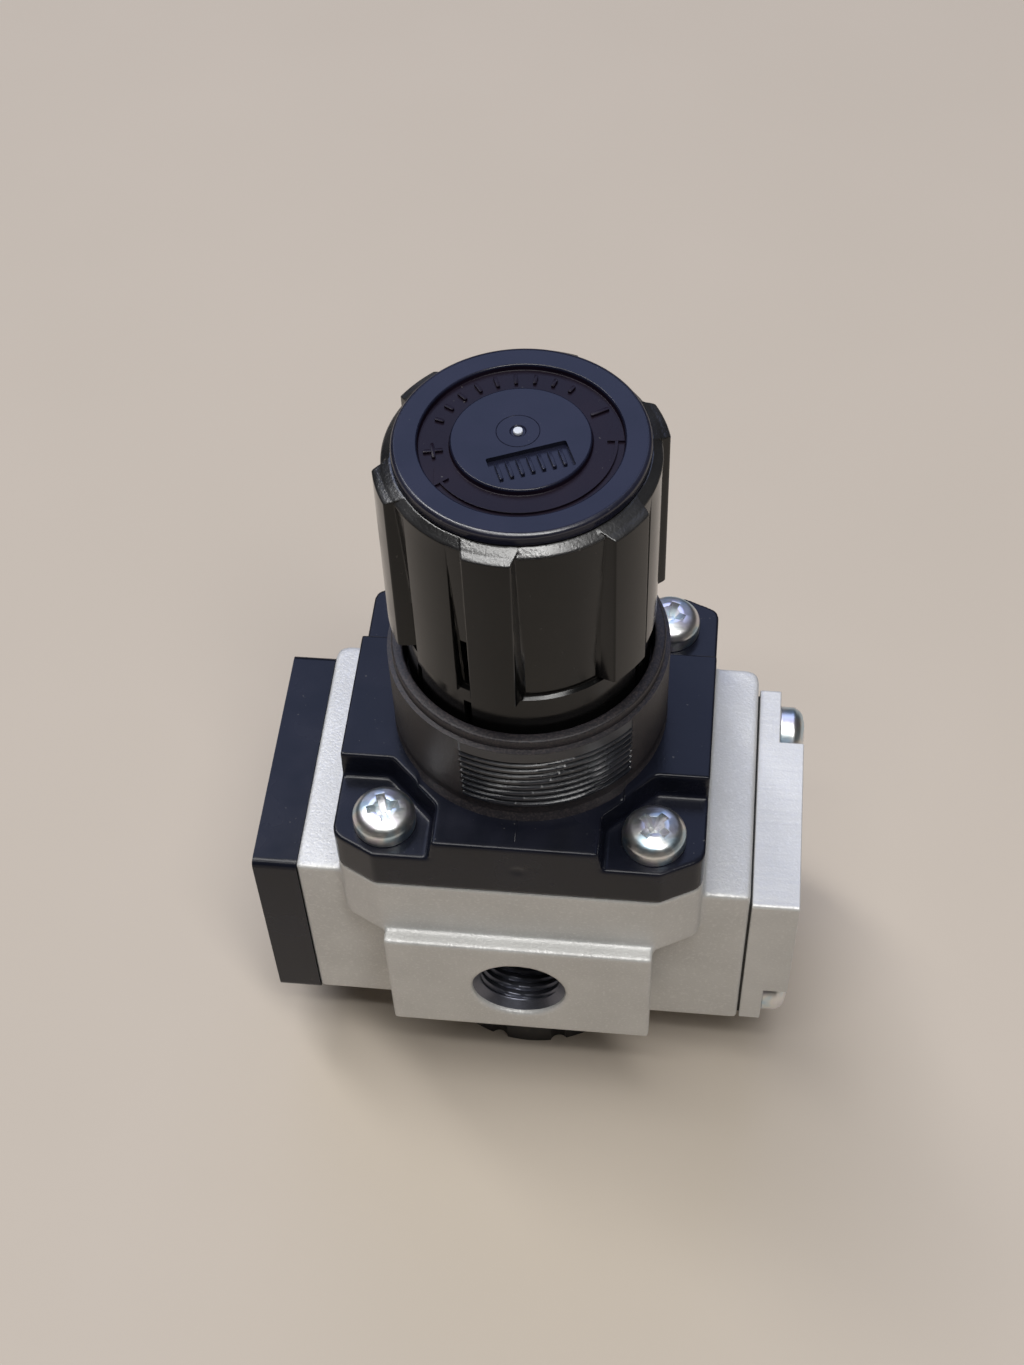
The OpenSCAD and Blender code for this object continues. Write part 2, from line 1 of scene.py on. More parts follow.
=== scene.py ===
"""Looks of the air pressure regulator, built around its CAD frame. Sizes are in millimetres."""

import json
import math

import bmesh
import bpy
from mathutils import Matrix, Vector


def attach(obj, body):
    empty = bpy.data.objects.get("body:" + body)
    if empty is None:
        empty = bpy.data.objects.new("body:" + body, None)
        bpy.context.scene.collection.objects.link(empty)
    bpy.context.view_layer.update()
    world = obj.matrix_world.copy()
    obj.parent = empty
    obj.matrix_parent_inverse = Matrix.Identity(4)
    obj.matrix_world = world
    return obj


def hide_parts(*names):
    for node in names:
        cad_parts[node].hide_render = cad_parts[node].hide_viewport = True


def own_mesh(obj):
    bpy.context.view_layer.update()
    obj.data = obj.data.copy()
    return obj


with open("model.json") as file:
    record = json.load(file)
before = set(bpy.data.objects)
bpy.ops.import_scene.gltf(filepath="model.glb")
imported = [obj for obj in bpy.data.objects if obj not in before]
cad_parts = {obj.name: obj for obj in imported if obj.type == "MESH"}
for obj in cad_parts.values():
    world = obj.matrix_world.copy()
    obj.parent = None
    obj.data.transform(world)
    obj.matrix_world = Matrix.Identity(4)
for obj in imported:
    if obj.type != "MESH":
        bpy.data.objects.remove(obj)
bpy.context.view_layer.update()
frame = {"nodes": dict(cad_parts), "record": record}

MM = 0.001
TURN = 2 * math.pi

# Sizes that several pieces share
FLANGE_X = 32.0
CORE_Y = 19.1
CORE_BACK_Y = 21.2
PARTING_Z = 53.7
PLATE_Z = 65.0
POCKET_Z = 60.8
NECK_Z = 81.0
PORT_Z = 31.0
PORT_FACE_Y = 26.5
KNOB_TURN = math.radians(-68)
PORT_MOUTH_R, TAPPED_R, PORT_DEPTH = 6.85, 5.72, 11.4
SCREW_X, SCREW_Y = 18.3, 18.35
HEAD_R, HEAD_H, SHANK_R = 4.3, 3.7, 2.46
SIDE_SCREWS = ((14.4, 42.2), (-14.4, 18.6))  # (y, z) of each screw in a side cover
COVER_SEAT = FLANGE_X + 2.6
ADAPTER_SEAT = FLANGE_X + 3.5


# ---------------------------------------------------------------- mesh tools


def solid(vertices, faces):
    """A mesh object from points in millimetres, its normals facing out."""
    mesh = bpy.data.meshes.new("mesh")
    mesh.from_pydata([[c * MM for c in v] for v in vertices], [], faces)
    work = bmesh.new()
    work.from_mesh(mesh)
    bmesh.ops.remove_doubles(work, verts=work.verts, dist=1e-4 * MM)
    bmesh.ops.recalc_face_normals(work, faces=work.faces)
    work.to_mesh(mesh)
    work.free()
    obj = bpy.data.objects.new("piece", mesh)
    bpy.context.scene.collection.objects.link(obj)
    return obj


def filleted(points, radius, steps=4, closed=True):
    """The polyline with each corner rounded. radius is one number, or one for each point."""
    radii = radius if isinstance(radius, (list, tuple)) else [radius] * len(points)
    out = []
    for i, p in enumerate(points):
        here = Vector(p)
        if radii[i] == 0 or (not closed and i in (0, len(points) - 1)):
            out.append(tuple(here))
            continue
        back = Vector(points[i - 1]) - here
        ahead = Vector(points[(i + 1) % len(points)]) - here
        half = back.angle(ahead) / 2
        reach = min(radii[i] / math.tan(half), 0.49 * back.length, 0.49 * ahead.length)
        a = here + back.normalized() * reach
        b = here + ahead.normalized() * reach
        for k in range(steps + 1):
            t = k / steps
            out.append(tuple(a * (1 - t) ** 2 + here * 2 * t * (1 - t) + b * t**2))
    return out


def loft(low, high, z0, z1):
    """A solid between two outlines with the same number of points."""
    n = len(low)
    vertices = [(x, y, z0) for x, y in low] + [(x, y, z1) for x, y in high]
    sides = [(i, (i + 1) % n, n + (i + 1) % n, n + i) for i in range(n)]
    return solid(vertices, [tuple(range(n)), tuple(range(n, 2 * n)), *sides])


def prism(outline, z0, z1):
    """An outline made solid between two heights."""
    return loft(outline, outline, z0, z1)


def block(x0, x1, y0, y1, z0, z1, radius=0.0):
    """A box, with its upright edges rounded if it has a radius."""
    corners = [(x0, y0), (x1, y0), (x1, y1), (x0, y1)]
    return prism(filleted(corners, radius) if radius else corners, z0, z1)


def skin(angles, rows):
    """A closed skin around Z. Each row is a function from an angle to (radius, height)."""
    vertices, faces = [], []
    for row in rows:
        for a in angles:
            r, z = row(a)
            vertices.append((r * math.cos(a), r * math.sin(a), z))
    n, m = len(angles), len(rows)
    for j in range(m):
        for i in range(n):
            k, up = (i + 1) % n, (j + 1) % m
            faces.append((j * n + i, j * n + k, up * n + k, up * n + i))
    return solid(vertices, faces)


def ring_row(r, z):
    """A round row of a skin."""
    return lambda a: (r, z)


def lathe(profile, segments=128):
    """A closed profile of (radius, height) points, turned around Z."""
    angles = [TURN * i / segments for i in range(segments)]
    return skin(angles, [ring_row(r, z) for r, z in profile])


def drum(radius, z0, z1, segments=128):
    """A plain cylinder around Z."""
    return lathe([(0, z0), (radius, z0), (radius, z1), (0, z1)], segments)


def placed(obj, *matrices):
    """Moves the mesh itself, the last matrix first."""
    for m in reversed(matrices):
        obj.data.transform(m)
    return obj


def shift(x, y, z):
    """A move in millimetres."""
    return Matrix.Translation((x * MM, y * MM, z * MM))


def spin(degrees, axis):
    """A turn around one axis."""
    return Matrix.Rotation(math.radians(degrees), 4, axis)


def baked(obj):
    """Gives the object the mesh that its modifiers make, and clears them."""
    bpy.context.view_layer.update()
    graph = bpy.context.evaluated_depsgraph_get()
    mesh = bpy.data.meshes.new_from_object(obj.evaluated_get(graph))
    obj.modifiers.clear()
    obj.data = mesh
    return obj


def carved(base, tools, operation="DIFFERENCE"):
    """base with each tool cut from it, or added to it."""
    for tool in tools:
        cut = base.modifiers.new("cut", "BOOLEAN")
        cut.operation = operation
        cut.solver = "EXACT"
        cut.object = tool
    baked(base)
    for tool in tools:
        bpy.data.objects.remove(tool)
    return base


def joined(parts):
    """One object that holds every part's mesh."""
    work = bmesh.new()
    for part in parts:
        work.from_mesh(part.data)
    work.to_mesh(parts[0].data)
    work.free()
    for part in parts[1:]:
        bpy.data.objects.remove(part)
    return parts[0]


def copied(obj, *matrices):
    """A moved copy of the object."""
    twin = bpy.data.objects.new("piece", obj.data.copy())
    bpy.context.scene.collection.objects.link(twin)
    return placed(twin, *matrices)


def softened(obj, width, segments=3, angle=32):
    """Rounds the edges that are sharper than the angle."""
    bevel = obj.modifiers.new("round", "BEVEL")
    bevel.width = width * MM
    bevel.segments = segments
    bevel.limit_method = "ANGLE"
    bevel.angle_limit = math.radians(angle)
    bevel.use_clamp_overlap = True
    return baked(obj)


def cast_round(obj, voxel, passes, share):
    """Rounds every edge as a mould does: remeshed, smoothed, then thinned to a share of its faces."""
    remesh = obj.modifiers.new("cast", "REMESH")
    remesh.mode = "VOXEL"
    remesh.voxel_size = voxel * MM
    smooth = obj.modifiers.new("blast", "SMOOTH")
    smooth.factor = 0.5
    smooth.iterations = passes
    thin = obj.modifiers.new("thin", "DECIMATE")
    thin.ratio = share
    return baked(obj)


def smoothed(obj, angle=35):
    """Smooth shading that keeps sharp edges, and keeps big flat faces flat."""
    obj.data.shade_smooth()
    obj.data.set_sharp_from_angle(angle=math.radians(angle))
    weight = obj.modifiers.new("weight", "WEIGHTED_NORMAL")
    weight.keep_sharp = True
    weight.weight = 100
    return baked(obj)


def delivered(obj, name, material, slot, body, *nodes):
    """Names the piece, gives it its material, and ties it to its CAD body and nodes."""
    obj.name = name
    obj.data.name = name
    obj.data.materials.clear()
    obj.data.materials.append(material)
    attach(obj, body)
    if nodes:
        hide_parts(*nodes)


def repaint(obj, look, chosen):
    """Gives the faces that chosen(radius, height, steepness) picks another look."""
    obj.data.materials.append(look)
    index = len(obj.data.materials) - 1
    for face in obj.data.polygons:
        radius = math.hypot(face.center.x, face.center.y) / MM
        if chosen(radius, face.center.z / MM, face.normal.z):
            face.material_index = index


def soft_min(a, b, k):
    """The smaller number, blended where the two are less than k apart."""
    h = max(k - abs(a - b), 0) / k
    return min(a, b) - h * h * k / 4


def soft_max(a, b, k):
    """The larger number, blended in the same way."""
    return -soft_min(-a, -b, k)


def lines_near(low, high, step, keys, reach, fine):
    """Sorted places from low to high, closer together near the keys."""
    steps = round((high - low) / step)
    places = [low + (high - low) * i / steps for i in range(steps + 1)]
    places = [p for p in places if all(abs(p - k) > reach for k in keys)]
    count = round(reach / fine)
    for k in keys:
        places += [k + i * fine for i in range(-count, count + 1) if low <= k + i * fine <= high]
    places = sorted(places + [low, high])
    kept = [places[0]]
    for p in places[1:]:
        if p - kept[-1] > fine * 0.4:
            kept.append(p)
    return kept


# ---------------------------------------------------------------- materials


class Nodes:
    """Short ways to add and join the nodes of one material."""

    def __init__(self, name):
        self.material = bpy.data.materials.new(name)
        self.material.use_nodes = True
        self.tree = self.material.node_tree
        self.shader = self.tree.nodes["Principled BSDF"]
        self.coords = self.tree.nodes.new("ShaderNodeTexCoord").outputs["Object"]

    def join(self, source, target):
        """Links an output to an input."""
        self.tree.links.new(source, target)

    def noise(self, size, detail=2.0, stretch=None):
        """Noise from 0 to 1 whose lumps are about size millimetres wide."""
        node = self.tree.nodes.new("ShaderNodeTexNoise")
        node.inputs["Scale"].default_value = 1 / (size * MM)
        node.inputs["Detail"].default_value = detail
        source = self.coords
        if stretch:
            mapping = self.tree.nodes.new("ShaderNodeMapping")
            mapping.inputs["Scale"].default_value = stretch
            self.join(source, mapping.inputs["Vector"])
            source = mapping.outputs["Vector"]
        self.join(source, node.inputs["Vector"])
        return node.outputs["Fac"]

    def ranged(self, value, from_low, from_high, to_low, to_high):
        """The value, moved from one range to another and held inside it."""
        node = self.tree.nodes.new("ShaderNodeMapRange")
        for i, number in enumerate((from_low, from_high, to_low, to_high), start=1):
            node.inputs[i].default_value = number
        self.join(value, node.inputs[0])
        return node.outputs[0]

    def mixed(self, factor, low, high):
        """A colour between two colours or colour outputs."""
        node = self.tree.nodes.new("ShaderNodeMix")
        node.data_type = "RGBA"
        self.join(factor, node.inputs["Factor"])
        low_socket, high_socket = [s for s in node.inputs if s.type == "RGBA"]
        for socket, colour in ((low_socket, low), (high_socket, high)):
            if isinstance(colour, (tuple, list)):
                socket.default_value = (*colour, 1)
            else:
                self.join(colour, socket)
        return [s for s in node.outputs if s.type == "RGBA"][0]

    def bump(self, height, depth, under=None):
        """Bumps of that depth in millimetres, on top of an earlier bump."""
        node = self.tree.nodes.new("ShaderNodeBump")
        node.inputs["Strength"].default_value = 1.0
        node.inputs["Distance"].default_value = depth * MM
        self.join(height, node.inputs["Height"])
        if under:
            self.join(under, node.inputs["Normal"])
        return node.outputs["Normal"]

    def set(self, socket, value):
        """Gives one of the shader's inputs a number, a colour or an output."""
        target = self.shader.inputs[socket]
        if isinstance(value, (int, float)):
            target.default_value = value
        elif isinstance(value, (tuple, list)):
            target.default_value = (*value, 1)
        else:
            self.join(value, target)


def sand_paint(name="sand_paint", strokes=False):
    """Silver paint over a blasted casting, or over a milled plate whose strokes run along X."""
    n = Nodes(name)
    grain = n.noise(0.34, 3)
    patches = n.noise(9, 2)
    low, high = (0.57, 0.57, 0.56), (0.63, 0.63, 0.62)
    if strokes:
        low, high = (0.61, 0.61, 0.6), (0.67, 0.67, 0.66)
    base = n.mixed(n.ranged(patches, 0.3, 0.7, 0, 1), low, high)
    specks = n.ranged(n.noise(0.45, 1), 0.55, 0.72, 0, 0.45)
    n.set("Base Color", n.mixed(specks, base, (0.74, 0.74, 0.73)))
    n.set("Metallic", 0.4)
    n.set("Roughness", n.ranged(grain, 0.3, 0.7, 0.42, 0.6))
    if strokes:
        cuts = n.noise(0.9, 1, (0.08, 1, 1))
        n.set("Normal", n.bump(grain, 0.035, n.bump(cuts, 0.05)))
    else:
        n.set("Normal", n.bump(grain, 0.075))
    return n.material


def machined():
    """Bare aluminium cut by a tap, with fine turning lines; its colour is painted dark bluish grey as
    the shade inside the port.
    """
    n = Nodes("machined_aluminium_painted_shade")
    lines = n.noise(0.5, 2, (1, 14, 1))
    # Painted shade: the metal's colour is far darker than bare aluminium
    n.set("Base Color", n.mixed(lines, (0.12, 0.125, 0.15), (0.24, 0.25, 0.3)))
    n.set("Metallic", 1.0)
    n.set("Roughness", n.ranged(lines, 0.3, 0.7, 0.34, 0.48))
    n.set("Normal", n.bump(lines, 0.01))
    return n.material


def moulded(name, low, high, roughness, depth=0.012, dust=0.2, specular=0.4):
    """Dark moulded plastic: a fine grain, cloudy sheen and a little dust."""
    n = Nodes(name)
    fine = n.noise(0.35, 3)
    clouds = n.noise(7, 3)
    base = n.mixed(n.ranged(clouds, 0.35, 0.65, 0, 1), low, high)
    specks = n.ranged(n.noise(0.6, 1), 0.775, 0.8, 0, dust)
    n.set("Base Color", n.mixed(specks, base, (0.3, 0.29, 0.27)))
    n.set("Roughness", n.ranged(clouds, 0.3, 0.7, roughness - 0.05, roughness + 0.06))
    n.set("Specular IOR Level", specular)
    n.set("Normal", n.bump(fine, depth, n.bump(clouds, 0.02)))
    return n.material


def rough_moulded():
    """Plastic left rough by the thread's mould, with a brown mottle painted in as the glint of raking
    light.
    """
    n = Nodes("neck_plastic")
    fine = n.noise(0.28, 4)
    raking_glint = n.ranged(fine, 0.45, 0.7, 0, 1)
    # Painted highlight: brown mottle in the colour for the light raking over the rough surface
    n.set("Base Color", n.mixed(raking_glint, (0.02, 0.019, 0.023), (0.058, 0.047, 0.049)))
    n.set("Roughness", n.ranged(fine, 0.3, 0.7, 0.38, 0.56))
    n.set("Specular IOR Level", 0.4)
    n.set("Normal", n.bump(fine, 0.05))
    return n.material


def zinc():
    """Bright zinc with the faint colours of its passivation."""
    n = Nodes("zinc_plate")
    tint = n.noise(2.6, 1)
    scratches = n.noise(0.8, 2, (1, 5, 1))
    pale = n.mixed(n.ranged(tint, 0.35, 0.5, 0, 1), (0.55, 0.69, 0.78), (0.78, 0.79, 0.78))
    n.set("Base Color", n.mixed(n.ranged(tint, 0.52, 0.66, 0, 0.6), pale, (0.8, 0.74, 0.84)))
    n.set("Metallic", 1.0)
    n.set("Roughness", n.ranged(scratches, 0.3, 0.7, 0.3, 0.4))
    n.set("Normal", n.bump(scratches, 0.002))
    return n.material


def metal(name, low, high, roughness):
    """Turned or drawn metal with faint lines around its length."""
    n = Nodes(name)
    lines = n.noise(0.7, 2, (1, 1, 9))
    n.set("Base Color", n.mixed(n.ranged(lines, 0.3, 0.7, 0, 1), low, high))
    n.set("Metallic", 1.0)
    n.set("Roughness", n.ranged(lines, 0.3, 0.7, roughness - 0.06, roughness + 0.08))
    n.set("Normal", n.bump(lines, 0.01))
    return n.material


def rubber():
    """Dull black rubber of the seals."""
    n = Nodes("rubber")
    fine = n.noise(0.3, 2)
    n.set("Base Color", n.mixed(fine, (0.014, 0.014, 0.014), (0.03, 0.029, 0.028)))
    n.set("Roughness", n.ranged(fine, 0.3, 0.7, 0.6, 0.78))
    n.set("Normal", n.bump(fine, 0.01))
    return n.material


LOOKS = {
    "cast_paint": sand_paint(),
    "bonnet_plastic": moulded(
        "bonnet_plastic", (0.006, 0.007, 0.012), (0.009, 0.01, 0.018), 0.24, specular=0.22
    ),
    "knob_plastic": moulded(
        "knob_plastic", (0.004, 0.004, 0.004), (0.006, 0.006, 0.006), 0.15,
        depth=0.002, dust=0.12, specular=0.25
    ),
    "cap_plastic": moulded(
        "cap_plastic", (0.008, 0.009, 0.02), (0.012, 0.013, 0.028), 0.22,
        depth=0.006, dust=0.1, specular=0.28
    ),
    "guide_plastic": moulded("guide_plastic", (0.012, 0.012, 0.014), (0.02, 0.02, 0.022), 0.45),
    "zinc_screw": zinc(),
    "turned_steel": metal("turned_steel", (0.5, 0.51, 0.52), (0.66, 0.67, 0.68), 0.26),
    "spring_steel": metal("spring_steel", (0.3, 0.31, 0.32), (0.45, 0.46, 0.47), 0.3),
    "valve_brass": metal("valve_brass", (0.62, 0.42, 0.16), (0.74, 0.54, 0.26), 0.24),
    "seal_rubber": rubber(),
}
NECK_LOOK = rough_moulded()
THREAD_LOOK = moulded(
    "thread_plastic", (0.01, 0.012, 0.018), (0.018, 0.02, 0.028), 0.28,
    depth=0.02, specular=0.6
)
# Painted highlight: a lighter, more specular copy of the knob plastic, put on the upward faces of the
# lugs and shoulder where the strong light falls
KNOB_HIGHLIGHT_LOOK = moulded(
    "knob_painted_highlight_plastic", (0.01, 0.01, 0.011), (0.02, 0.02, 0.021), 0.3,
    depth=0.04, dust=0.4, specular=1.0
)
# Painted highlight: the cap plastic with a stronger, broader specular and more light specks, put on
# the cap's rounded rim
CAP_HIGHLIGHT_LOOK = moulded(
    "cap_painted_highlight_plastic", (0.008, 0.009, 0.02), (0.012, 0.013, 0.028), 0.3,
    depth=0.01, specular=0.9
)
RING_LOOK = moulded(
    "cap_ring_plastic", (0.007, 0.004, 0.009), (0.01, 0.006, 0.013), 0.36,
    depth=0.016, specular=0.18
)
# Painted highlight: the gate mark is coloured pale blue-white to stand for the glint of light in it
PIP_GLINT_LOOK = moulded("cap_gate_mark_painted_glint", (0.55, 0.58, 0.64), (0.62, 0.65, 0.7), 0.4)
SHADED_BORE_LOOK = machined()
MILLED_LOOK = sand_paint("milled_paint", strokes=True)

# Every CAD node starts with the look of its own slot
for part in frame["record"]["subparts"]:
    look = LOOKS[part["material_slot"]]
    mesh = frame["nodes"][part["node"]].data
    mesh.materials.clear()
    mesh.materials.append(look)


# ---------------------------------------------------------------- body

BLOCK_Z0, BLOCK_Z1, HEAD_Z0 = 14.6, 48.8, 41.1
SPIGOT_R, SPIGOT_Z0 = 19, 9
BOSS_X, BOSS_Z0, BOSS_Z1 = 19, 19.9, 42.3


def mirrored(points):
    """The points of the +X half, and their mirror images in reverse order."""
    return points + [(-x, y) for x, y in reversed(points)]


def head_outline():
    """Outline that the head block and the bonnet share, with softly cut corners."""
    half = [(19.4, -23.95), (25.3, -20.9), (25.3, 22.3), (20.3, 24.4)]
    return filleted(mirrored(half), [0.6, 2.4, 2.0, 1.5, 1.5, 2.0, 2.4, 0.6])


def core_outline():
    """Outline of the block between the two side flanges."""
    half = [(FLANGE_X, -CORE_Y), (FLANGE_X, CORE_BACK_Y)]
    return filleted(mirrored(half), [0.3, 2.0, 2.0, 0.3])


def port_bore(side, radius, depth):
    """Cutter for one port, from its face inward."""
    tool = drum(radius, -2, depth, 64)
    return placed(tool, shift(0, side * PORT_FACE_Y, PORT_Z), spin(90 * side, "X"))


def build_body():
    """The casting: a block with its head above, a spigot below, and a stepped boss at each port."""
    core = prism(core_outline(), BLOCK_Z0, BLOCK_Z1)
    adds = [
        prism(head_outline(), HEAD_Z0, PARTING_Z),
        drum(SPIGOT_R, SPIGOT_Z0, BLOCK_Z0 + 1.4),
    ]
    for side in (-1, 1):
        y0, y1 = sorted((side * PORT_FACE_Y, side * (PORT_FACE_Y - 3)))
        adds.append(block(-BOSS_X, BOSS_X, y0, y1, BOSS_Z0, BOSS_Z1))
        y0, y1 = sorted((side * (PORT_FACE_Y - 2), 0))
        adds.append(block(-BOSS_X + 2, BOSS_X - 2, y0, y1, BOSS_Z0 + 1.5, BOSS_Z1 - 0.8))
    body = carved(core, adds, "UNION")
    bores = [port_bore(side, PORT_MOUTH_R - 0.1, PORT_DEPTH + 0.1) for side in (-1, 1)]
    valve_chamber = drum(12, 5, 21)
    seat_well = [(0, 44.5), (11.5, 44.5), (14, 47.5)]
    diaphragm_chamber = lathe([*seat_well, (20.5, 48), (20.5, 60), (0, 60)])
    carved(body, [*bores, valve_chamber, diaphragm_chamber])
    cast_round(body, 0.32, 8, 0.3)
    body.data.shade_smooth()
    delivered(body, "casting", LOOKS["cast_paint"], "cast_paint", "housing", "body")


def port_radius(a, z, pitch=1.34, groove_depth=0.42):
    """Inside radius of a port: a cone at the mouth, then a thread."""
    cone = PORT_MOUTH_R + 0.1 - (z - 0.5) * 0.9
    phase = (z / pitch - a / TURN) % 1.0
    groove = groove_depth * max(1 - 2 * abs(2 * phase - 1), 0)
    return max(min(TAPPED_R + groove, PORT_MOUTH_R), min(cone, PORT_MOUTH_R + 0.1))


def build_port_thread(side, name):
    """Tapped sleeve of one port: a chamfered mouth and a thread."""
    wall, top, steps = PORT_MOUTH_R + 0.3, 0.5, 110

    def thread_row(z):
        return lambda a: (port_radius(a, z), z)

    rows = [thread_row(top + (PORT_DEPTH - top) * i / steps) for i in range(steps + 1)]
    end = PORT_DEPTH + 0.4
    closing = [(5.2, PORT_DEPTH), (0.01, PORT_DEPTH), (0.01, end), (wall, end), (wall, top)]
    rows += [ring_row(r, z) for r, z in closing]
    sleeve = skin([TURN * i / 96 for i in range(96)], rows)
    placed(sleeve, shift(0, side * PORT_FACE_Y, PORT_Z), spin(90 * side, "X"))
    smoothed(sleeve, 40)
    # The sleeve's dark colour is painted shade of the deep bore
    delivered(sleeve, name, SHADED_BORE_LOOK, "cast_paint", "housing")


# ---------------------------------------------------------------- bonnet

NECK_FOOT_R, NECK_LIP_R = 18.6, 18.25
THREAD_PITCH = 1.25
THREAD_Z0, FIRST_CREST_Z, LAST_CREST_Z, THREAD_Z1 = 67.5, 67.9, 77.5, 79.4
CREST_R, ROOT_R, PLAIN_R = 19.0, 18.3, 18.88
THREAD_ARC = 37
THREAD_MIDDLES = (-76, 104)
RECESS_X, RECESS_Y = 14, 11


def thread_share(a):
    """1 in the threaded sectors, 0 in the plain ones between them."""
    degrees = math.degrees(a)
    off = min(abs((degrees - m + 180) % 360 - 180) for m in THREAD_MIDDLES)
    return min(max((THREAD_ARC - off) / 1.2 + 0.5, 0), 1)


def neck_radius(a, z):
    """Outside radius of the neck, with a helical thread in its two threaded sectors."""
    if z < THREAD_Z0:
        return NECK_FOOT_R
    if z > THREAD_Z1:
        return NECK_LIP_R
    start = math.radians(THREAD_MIDDLES[0])
    phase = ((z - FIRST_CREST_Z) / THREAD_PITCH - (a - start) / TURN) % 1.0
    off = 2 * min(phase, 1 - phase)
    crest = min(max((0.78 - off) / 0.42, 0), 1)
    crest = crest * crest * (3 - 2 * crest)
    if z > LAST_CREST_Z:
        crest = 1.0
    threaded = ROOT_R + (CREST_R - ROOT_R) * crest
    share = thread_share(a)
    return PLAIN_R + (threaded - PLAIN_R) * share


def neck_row(z):
    """A row of the neck's skin at one height."""
    return lambda a: (neck_radius(a, z), z)


def pocket_tool(sx, sy):
    """Cutter for one screw pocket: drafted walls and a slanting inner corner."""
    foot = [(11.8, 17.6), (18.4, 10.9), (40, 10.9), (40, 40), (11.8, 40)]
    top = [(11.0, 17.4), (17.9, 10.6), (40, 10.6), (40, 40), (11.0, 40)]
    radii = [1.2, 1.2, 0, 0, 0]
    tool = loft(filleted(foot, radii), filleted(top, radii), POCKET_Z, PLATE_Z + 0.4)
    placed(tool, Matrix.Diagonal((sx, sy, 1, 1)))
    if sx * sy < 0:
        tool.data.flip_normals()
    return tool


def build_bonnet():
    """The bonnet's plate: four screw pockets, two shallow recesses, a bore and two mould marks."""
    plate = prism(head_outline(), PARTING_Z, PLATE_Z)
    cuts = [pocket_tool(sx, sy) for sx in (-1, 1) for sy in (-1, 1)]
    for side in (-1, 1):
        y0, y1 = sorted((side * RECESS_Y, side * 40))
        cuts.append(block(-RECESS_X, RECESS_X, y0, y1, PLATE_Z - 0.5, PLATE_Z + 5))
    cuts.append(drum(15.5, 40, 80, 96))
    sink = [(0, -1), (0.9, -1), (0.9, 0.12), (0, 0.12)]
    sink_mark = lathe(filleted(sink, [0, 0, 0.1, 0]), 32)
    cuts.append(placed(sink_mark, shift(0.4, -23.95, 59.4), spin(-90, "X")))
    carved(plate, cuts)
    cast_round(plate, 0.25, 10, 0.45)
    gate_line = softened(block(-0.12, 0.12, -22.6, -18, 64.3, 64.58), 0.03, 1)
    plate = joined([plate, gate_line])
    plate.data.shade_smooth()
    look = LOOKS["bonnet_plastic"]
    delivered(plate, "bonnet_plate", look, "bonnet_plastic", "housing", "bonnet")


def build_neck():
    """The bonnet's neck: outer skin, lip, knob gap and the tower that holds the screw."""
    edges = [m + s * THREAD_ARC for m in THREAD_MIDDLES for s in (-1, 1)]
    edges = [(e + 180) % 360 - 180 for e in edges]
    angles = [math.radians(a) for a in lines_near(-180, 180, 1.2, edges, 1.4, 0.2)[:-1]]
    foot = [(19.3, 62), (19.3, PLATE_Z - 0.7), (NECK_FOOT_R, PLATE_Z + 0.6), (NECK_FOOT_R, 67.2)]
    rows = [ring_row(17, 62)]
    rows += [ring_row(r, z) for r, z in filleted(foot, 0.8, 5, closed=False)]
    ends = [THREAD_Z0, THREAD_Z1]
    rows += [neck_row(z) for z in lines_near(67.42, 79.48, 0.14, ends, 0.1, 0.05)]
    lip = [(NECK_LIP_R, 79.6), (NECK_LIP_R, NECK_Z), (16.8, NECK_Z), (16.8, 74.3)]
    rows += [ring_row(r, z) for r, z in filleted(lip, [0, 0.3, 0.3, 0], 3, closed=False)]
    tower = [(16.5, 74), (14, 74), (14, 87.5), (4.06, 87.5), (4.06, 84.8), (12.4, 84.8), (12.4, 62)]
    rows += [ring_row(r, z) for r, z in tower]
    neck = skin(angles, rows)
    smoothed(neck, 50)
    delivered(neck, "bonnet_neck", NECK_LOOK, "bonnet_plastic", "housing", "bonnet")
    neck.data.materials.append(THREAD_LOOK)
    for face in neck.data.polygons:
        angle = math.atan2(face.center.y, face.center.x)
        if thread_share(angle) > 0.5 and 67.4 < face.center.z / MM < 79.3:
            face.material_index = 1


# ---------------------------------------------------------------- side covers

CLEARANCE_R = 2.7
GAUGE_R = 4.28
COVER_WIDTH, COVER_Z0, COVER_Z1 = 6.4, 13.8, 48.8
ADAPTER_Y0, ADAPTER_Y1, ADAPTER_Z0, ADAPTER_Z1 = -18.85, 19.55, 14.4, 46.5
NOTCH = 4.5


def upright_plate(x0, x1, y0, y1, z0, z1, radius):
    """A plate that faces X, with round corners."""
    outline = filleted([(y0, z0), (y1, z0), (y1, z1), (y0, z1)], radius)
    plate = prism(outline, x0, x1)
    axes = Matrix(((0, 0, 1, 0), (1, 0, 0, 0), (0, 1, 0, 0), (0, 0, 0, 1)))
    return placed(plate, axes)


def screw_bore(x0, x1, radius, y, z):
    """Cutter for a round hole along X."""
    return placed(drum(radius, x0, x1, 48), shift(0, y, z), spin(90, "Y"))


def build_side_cover():
    """The blank cover on the -X side, with its two screws sunk into it."""
    outer = -FLANGE_X - COVER_WIDTH
    cover = upright_plate(outer, -FLANGE_X, -CORE_Y, CORE_Y, COVER_Z0, COVER_Z1, 1.2)
    tools = []
    for y, z in SIDE_SCREWS:
        tools.append(screw_bore(outer - 1, -COVER_SEAT, HEAD_R + 0.2, y, z))
        tools.append(screw_bore(outer - 1, -FLANGE_X + 1, CLEARANCE_R, y, z))
    carved(cover, tools)
    softened(cover, 0.5)
    smoothed(cover)
    look = LOOKS["bonnet_plastic"]
    delivered(cover, "blank_cover", look, "bonnet_plastic", "housing", "side_cover")


